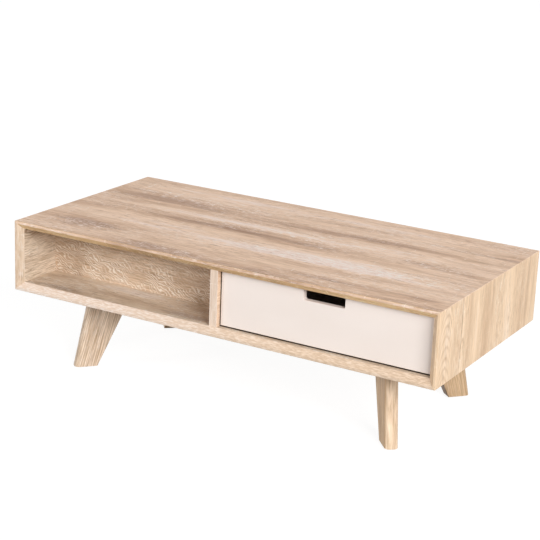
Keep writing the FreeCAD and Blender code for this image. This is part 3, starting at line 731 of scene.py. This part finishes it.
zinc = plated("zinc_plate", (0.56, 0.57, 0.6, 1), (0.68, 0.69, 0.7, 1), 0.26, 900)
cast_zinc = plated("cast_zinc", (0.44, 0.45, 0.46, 1), (0.54, 0.55, 0.56, 1), 0.42, 1500)
white_coat = sprayed("white_powder_coat", shade(228, 228, 225), shade(237, 237, 234), 0.34, 850)
black_coat = sprayed("black_powder_coat", shade(26, 26, 27), shade(36, 36, 37), 0.46, 700)
board_white, base_white, clear_nylon = melamine(), hardboard(), nylon()
beech("beech_dowel", ALONG_Z).wear("carcass_dowels")
beech("beech_tongue", ALONG_Y).wear("mitre_tongues")
black_coat.wear(*[corner + "_leg_plate" for corner in LEG_TURNS])
clear_nylon.wear("foot_glides")
zinc.wear("rail_rivets")
for drawer in ("front_drawer_", "rear_drawer_"):
    board_white.wear(drawer + "left_side", drawer + "right_side", drawer + "back")
    base_white.wear(drawer + "bottom")
    zinc.wear(drawer + "runner_rivets")
    for hand in ("left_", "right_"):
        white_coat.wear(drawer + hand + "rail", drawer + hand + "runner")
        clear_nylon.wear(drawer + hand + "rail_roller", drawer + hand + "runner_roller")

# Fasteners
#
# Each CAD fastener is a plain turned solid. Its place gets a screw with a cross slot and a
# thread, or a cam with a cross slot. A fastener is made along Z with the top of its head at
# the origin, and then turned into each place. Its sizes are millimetres.

AXES = (Vector((1, 0, 0)), Vector((0, 1, 0)), Vector((0, 0, 1)))
SCREW_SIDES = 16
THREAD_STEPS = 12
SLOT_TURN = 0.7  # from one screw's slot to the next, in radians
CAMS = 4
CAM_SLOT = (2.2, 2.4, 1.6)
CAM_CORNERS = 8  # a round face of a cam has more than these
WELD = 0.01 * MM
FLAT = 0.001  # radians
SHARP = math.radians(35)


def solids(node):
    """The points of each separate solid in a CAD node, in a fixed order."""
    work = bmesh.new()
    work.from_mesh(nodes[node].data)
    bmesh.ops.remove_doubles(work, verts=work.verts, dist=WELD)
    left = set(work.verts)
    found = []
    while left:
        reached = [left.pop()]
        for vert in reached:
            near = {edge.other_vert(vert) for edge in vert.link_edges} & left
            left -= near
            reached.extend(near)
        found.append([vert.co.copy() for vert in reached])
    work.free()
    return sorted(found, key=lambda points: [round(min(p[axis] for p in points), 5) for axis in range(3)])


def ends(points, axis):
    """Where the wider end of a solid is on its axis, and the way from there to its other end."""
    low, high = [Vector([pick(p[i] for p in points) for i in range(3)]) for pick in (min, max)]
    middle = (low + high) / 2
    across = [i for i in range(3) if i != axis]
    wide = max(points, key=lambda p: sum((p[i] - middle[i]) ** 2 for i in across))
    head_is_low = wide[axis] < middle[axis]
    place = middle.copy()
    place[axis] = low[axis] if head_is_low else high[axis]
    return place, AXES[axis] * (1 if head_is_low else -1)


def turned(profile):
    """A shape turned from (radius, height) points about Z, with its two ends closed."""
    work = bmesh.new()
    ring = [work.verts.new((radius * MM, 0, height * MM)) for radius, height in profile]
    edges = [work.edges.new(pair) for pair in zip(ring, ring[1:])]
    bmesh.ops.spin(work, geom=ring + edges, cent=(0, 0, 0), axis=(0, 0, 1), dvec=(0, 0, 0),
                   angle=math.tau, steps=SCREW_SIDES, use_merge=True)
    bmesh.ops.holes_fill(work, edges=[edge for edge in work.edges if edge.is_boundary], sides=0)
    bmesh.ops.recalc_face_normals(work, faces=work.faces)
    return work


def cross_slot(work, top, rim, arm, depth):
    """Sinks a cross into a flat round face: a rim is left around it, then come its arms."""
    inwards = -top.normal.copy()
    middle = top.calc_center_median()
    spoke = (top.verts[0].co - middle).normalized()
    side = top.normal.cross(spoke)
    bmesh.ops.inset_region(work, faces=[top], thickness=rim * MM, use_even_offset=True)
    ring = bmesh.ops.inset_region(work, faces=[top], thickness=arm * MM, use_even_offset=True)["faces"]
    sunk = [top]
    for face in ring:
        off = face.calc_center_median() - middle
        turn = math.degrees(math.atan2(off.dot(side), off.dot(spoke))) % 90
        if turn < 360 / SCREW_SIDES:
            sunk.append(face)
    made = bmesh.ops.extrude_face_region(work, geom=sunk)["geom"]
    verts = [item for item in made if isinstance(item, bmesh.types.BMVert)]
    bmesh.ops.delete(work, geom=sunk, context="FACES")
    bmesh.ops.translate(work, verts=verts, vec=inwards * depth * MM)
    bmesh.ops.recalc_face_normals(work, faces=work.faces)


def thread(work, core, crest, start, stop, pitch):
    """Adds the sharp helical ridge of a wood screw to its shank."""
    turns = (stop - start) / pitch
    steps = round(turns * THREAD_STEPS)
    tooth = [(core * 0.85, start - 0.3 * pitch), (crest, start), (core * 0.85, start + 0.3 * pitch)]
    ring = [work.verts.new((radius * MM, 0, height * MM)) for radius, height in tooth]
    edges = [work.edges.new(pair) for pair in zip(ring, ring[1:] + ring[:1])]
    rise = (stop - start) * MM / steps
    bmesh.ops.spin(work, geom=ring + edges, cent=(0, 0, 0), axis=(0, 0, 1), dvec=(0, 0, rise),
                   angle=math.tau * turns, steps=steps, use_merge=False)
    bmesh.ops.holes_fill(work, edges=[edge for edge in work.edges if edge.is_boundary], sides=3)
    bmesh.ops.recalc_face_normals(work, faces=work.faces)


def head_face(work):
    """The flat face at the top of a fastener's head."""
    return min(work.faces, key=lambda face: round(face.calc_center_median().z, 7) - face.calc_area())


def pan_screw(diameter, head, head_height, length):
    """Pan head wood screw; its length is counted from under the head."""
    crest, core, wide, tip = diameter / 2, diameter * 0.34, head / 2, head_height + length
    work = turned([
        (wide * 0.6, 0), (wide * 0.82, head_height * 0.12), (wide * 0.95, head_height * 0.4),
        (wide, head_height * 0.75), (wide, head_height), (core, head_height),
        (core, tip - diameter), (core * 0.1, tip),
    ])
    cross_slot(work, head_face(work), wide * 0.04, wide * 0.36, head_height * 0.6)
    thread(work, core, crest, head_height + diameter * 0.5, tip - diameter * 0.8, diameter * 0.42)
    return work


def sunk_screw(diameter, head, head_height, length):
    """Countersunk wood screw; its length is counted from the top of its head."""
    crest, core, wide = diameter / 2, diameter * 0.34, head / 2
    work = turned([
        (wide * 0.96, 0), (wide, head_height * 0.06), (wide, head_height * 0.14), (crest * 0.9, head_height),
        (crest * 0.9, length * 0.28), (core, length * 0.3), (core, length - diameter), (core * 0.1, length),
    ])
    cross_slot(work, head_face(work), wide * 0.4, wide * 0.34, head_height * 0.75)
    thread(work, core, crest, length * 0.32, length - diameter * 0.8, diameter * 0.45)
    return work


def fasten(node, axis, one, body, finish):
    """Puts copies of one fastener in the places of a node's solids, as one piece that stands for it."""
    pattern = bpy.data.meshes.new(node + "_pattern")
    one.to_mesh(pattern)
    one.free()
    work = bmesh.new()
    for number, points in enumerate(solids(node)):
        place, way = ends(points, axis)
        count = len(work.verts)
        work.from_mesh(pattern)
        work.verts.ensure_lookup_table()
        turn = way.to_track_quat("Z", "Y").to_matrix().to_4x4() @ Matrix.Rotation(number * SLOT_TURN, 4, "Z")
        bmesh.ops.transform(work, matrix=Matrix.Translation(place) @ turn, verts=work.verts[count:])
    bpy.data.meshes.remove(pattern)
    finished(node + "_slotted", work, body, finish, node)


def finished(name, work, body, finish, node):
    """Makes a bmesh a piece of the table that rides on a body and stands for a CAD node."""
    mesh = bpy.data.meshes.new(name)
    work.to_mesh(mesh)
    work.free()
    mesh.shade_smooth()
    mesh.set_sharp_from_angle(angle=SHARP)
    piece = bpy.data.objects.new(name, mesh)
    bpy.context.scene.collection.objects.link(piece)
    finish.wear(piece)
    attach(piece, body)
    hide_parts(node)


def cam_locks(node, body):
    """The CAD cams with a cross slot in the face that shows inside the drawer."""
    work = bmesh.new()
    work.from_mesh(nodes[node].data)
    bmesh.ops.remove_doubles(work, verts=work.verts, dist=WELD)
    low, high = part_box(node)
    middle = (low[X] + high[X]) / 2
    flat = [edge for edge in work.edges if len(edge.link_faces) == 2 and edge.calc_face_angle() < FLAT]
    bmesh.ops.dissolve_edges(work, edges=flat, use_verts=False)
    shown = [face for face in work.faces if abs(face.normal.x) > 0.99 and len(face.verts) > CAM_CORNERS
             and (middle - face.calc_center_median().x) * face.normal.x > 0]
    inner = sorted(shown, key=lambda face: abs(face.calc_center_median().x - middle))[:CAMS]
    for face in inner:
        cross_slot(work, face, *CAM_SLOT)
    finished(node + "_slotted", work, body, cast_zinc, node)


# Sizes of each screw: diameter, head, head height and length
PLATE_SCREW = (4.0, 8.0, 2.4, 16.0)
SLIDE_SCREW = (3.5, 6.0, 1.5, 11.0)
CARCASS_SCREW = (6.0, 10.0, 3.0, 40.0)
LEG_SCREW = (4.5, 8.5, 2.2, 45.0)
BACK_SCREW = (4.0, 8.0, 2.5, 35.0)
fasten("leg_plate_screws", Z, pan_screw(*PLATE_SCREW), "table", zinc)
fasten("carcass_screws", Z, sunk_screw(*CARCASS_SCREW), "table", zinc)
fasten("leg_screws", Z, sunk_screw(*LEG_SCREW), "table", zinc)
fasten("rail_screws", X, pan_screw(*SLIDE_SCREW), "table", zinc)
for drawer in ("front_drawer", "rear_drawer"):
    fasten(drawer + "_runner_screws", X, pan_screw(*SLIDE_SCREW), drawer, zinc)
    fasten(drawer + "_back_screws", X, sunk_screw(*BACK_SCREW), drawer, zinc)
    zinc.wear(drawer + "_cam_bolts")
    cam_locks(drawer + "_cam_locks", drawer)

# Floor, lights and camera

FLOOR_HALF, FLOOR_DROP = 9.0, 0.5 * MM
FLOOR_BOUNCE = (0.5, 0.5, 0.5, 1)
FLOOR_SHADED = (0.2, 0.2, 0.2, 1)
FLOOR_GLOW = 0.9
ROOM_LIGHT = 0.264
LAMP_TARGET = (0, 0, 0.25)

# The photograph's camera: its turns in degrees, its place in metres and its focal length in pixels
CAMERA_TURNS = (29.737, 17.349, 2.390)
CAMERA_BACK, CAMERA_RIGHT, CAMERA_UP = 4.03081, -0.00458, 0.09213
CAMERA_AIM = Vector((0, 0, 0.206))
FOCAL_PIXELS, PHOTO_PIXELS = 1560.57, 540
SENSOR_WIDTH = 36.0


def seen_directly(look):
    """One for rays from the camera, a mirror or a pane, and none for those that only light things."""
    rays = look.tree.nodes.new("ShaderNodeLightPath").outputs
    seen = look.calc("MAXIMUM", rays["Is Camera Ray"], rays["Is Glossy Ray"])
    return look.calc("MAXIMUM", seen, rays["Is Transmission Ray"])


def floor():
    """Pale floor that shows white to the camera, keeps the table's shadow and is clear from below."""
    mesh = bpy.data.meshes.new("floor")
    work = bmesh.new()
    bmesh.ops.create_grid(work, x_segments=1, y_segments=1, size=FLOOR_HALF)
    bmesh.ops.translate(work, vec=(0, 0, -FLOOR_DROP), verts=work.verts)
    work.to_mesh(mesh)
    work.free()
    plane = bpy.data.objects.new("floor", mesh)
    bpy.context.scene.collection.objects.link(plane)
    material = bpy.data.materials.new("floor_white")
    look = Nodes(material)
    bounce = look.node("BsdfDiffuse", FLOOR_BOUNCE)
    shaded = look.node("BsdfDiffuse", FLOOR_SHADED)
    shown = look.node("AddShader", shaded, look.node("Emission", WHITE, FLOOR_GLOW))
    above = look.node("MixShader", seen_directly(look), bounce, shown)
    backs = look.node("NewGeometry", out="Backfacing")
    below = look.times(backs, look.node("LightPath", out="Is Camera Ray"))
    look.surface("Material", look.node("MixShader", below, above, look.node("BsdfTransparent")))
    plane.data.materials.append(material)


def sky(level):
    """White room: full white to the camera, and a soft even light on the table."""
    world = bpy.data.worlds.new("room")
    bpy.context.scene.world = world
    look = Nodes(world)
    strength = look.node("MapRange", seen_directly(look), 0.0, 1.0, level, 1.0)
    look.surface("World", look.node("Background", WHITE, strength))


def softbox(name, place, target, size, power):
    """Square lamp of soft light, turned towards a target."""
    lamp = bpy.data.lights.new(name, "AREA")
    lamp.size = size
    lamp.energy = power
    holder = bpy.data.objects.new(name, lamp)
    bpy.context.scene.collection.objects.link(holder)
    holder.location = place
    holder.rotation_euler = (Vector(target) - Vector(place)).to_track_quat("-Z", "Y").to_euler()


def camera():
    """Camera of the photograph: a long lens, to the right of the front and a little above."""
    around, above, roll = map(math.radians, CAMERA_TURNS)
    back = Vector((math.sin(around) * math.cos(above), -math.cos(around) * math.cos(above), math.sin(above)))
    level = Vector((math.cos(around), math.sin(around), 0))
    upright = back.cross(level)
    right = math.cos(roll) * level + math.sin(roll) * upright
    up = math.cos(roll) * upright - math.sin(roll) * level
    place = back * CAMERA_BACK + right * CAMERA_RIGHT + up * CAMERA_UP + CAMERA_AIM
    lens = bpy.data.cameras.new("camera")
    lens.sensor_width = SENSOR_WIDTH
    lens.lens = SENSOR_WIDTH * FOCAL_PIXELS / PHOTO_PIXELS
    lens.clip_end = 50.0
    holder = bpy.data.objects.new("camera", lens)
    bpy.context.scene.collection.objects.link(holder)
    turn = Matrix((right, up, back)).transposed().to_4x4()
    holder.matrix_world = Matrix.Translation(place) @ turn
    bpy.context.scene.camera = holder


floor()
sky(ROOM_LIGHT)
softbox("key_lamp", (9.6, -7.0, 5.5), LAMP_TARGET, 6.0, 1540)
softbox("fill_lamp", (-5.6, -6.8, 3.2), LAMP_TARGET, 1.8, 180)
softbox("rear_lamp", (2.5, 9.0, 3.0), LAMP_TARGET, 4.0, 180)
softbox("side_lamp", (-9.0, 2.5, 3.0), LAMP_TARGET, 3.4, 130)
camera()
bpy.context.scene.view_settings.view_transform = "Standard"
